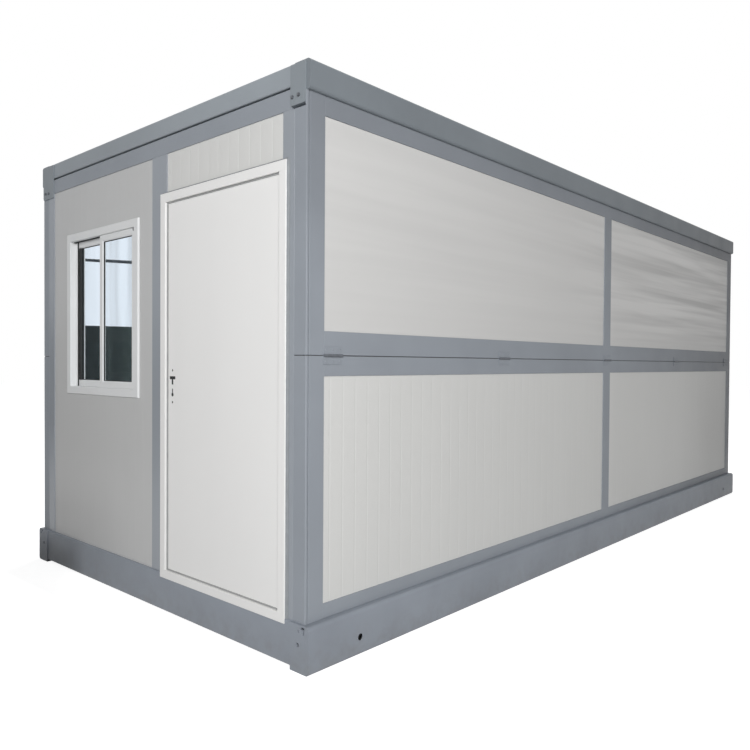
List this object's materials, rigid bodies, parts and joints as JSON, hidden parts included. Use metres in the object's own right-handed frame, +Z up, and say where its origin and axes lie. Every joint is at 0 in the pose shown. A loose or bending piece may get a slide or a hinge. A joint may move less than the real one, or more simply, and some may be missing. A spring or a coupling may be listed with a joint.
{
  "type": "folding container house",
  "caption": "Flat-packing cabin with a grey steel frame, white insulated wall panels hinged at mid height, a door and a sliding window in one end, and a flat ribbed roof.",
  "frame": {"origin": "centre of the base on the ground", "axes": "+Z up; +Y along the length, away from the door end; +X to the long wall on the right of someone facing the door end"},
  "size_m": [2.56, 5.7, 2.5],
  "materials": {
    "frame_steel": "satin grey-blue paint",
    "hinge_steel": "satin grey-blue paint",
    "wall_panel": "semi-gloss white coil coating",
    "door_steel": "semi-gloss white paint",
    "window_vinyl": "smooth white vinyl",
    "window_glass": "clear glass",
    "floor_board": "matt fibre-cement board",
    "roof_steel": "coil-coated ribbed sheet"
  },
  "bodies": {
    "house": {"base_end_beams": "frame_steel", "base_side_beams": "frame_steel", "ceiling_panel": "wall_panel", "door_head": "door_steel", "door_hinge_plates": "hinge_steel", "door_jambs": "door_steel", "door_sill": "door_steel", "floor_deck": "floor_board", "floor_joists": "frame_steel", "front_posts": "frame_steel", "head_beams": "frame_steel", "left_fold_hinges": "hinge_steel", "left_lower_panels": "wall_panel", "left_lower_posts": "frame_steel", "left_lower_rails": "frame_steel", "left_upper_panels": "wall_panel", "left_upper_posts": "frame_steel", "left_upper_rails": "frame_steel", "over_door_panel": "wall_panel", "rear_panels": "wall_panel", "rear_posts": "frame_steel", "right_fold_hinges": "hinge_steel", "right_lower_panels": "wall_panel", "right_lower_posts": "frame_steel", "right_lower_rails": "frame_steel", "right_upper_panels": "wall_panel", "right_upper_posts": "frame_steel", "right_upper_rails": "frame_steel", "roof_corner_plates": "frame_steel", "roof_end_beams": "frame_steel", "roof_joists": "frame_steel", "roof_sheet": "roof_steel", "roof_side_beams": "frame_steel", "window_frame_rails": "window_vinyl", "window_frame_stiles": "window_vinyl", "window_glass": "window_glass", "window_panels_above_below": "wall_panel", "window_panels_beside": "wall_panel", "window_sash_left": "window_vinyl", "window_sash_right": "window_vinyl"},
    "door": {"door_leaf": "door_steel", "door_hinge_knuckles": "hinge_steel"}
  },
  "joints": [
    {"name": "door_hinge", "type": "hinge", "parent": "house", "child": "door", "pos_m": [1.081, -2.784, 1.145], "axis": [0, 0, -1], "range_deg": [0, 90]}
  ]
}
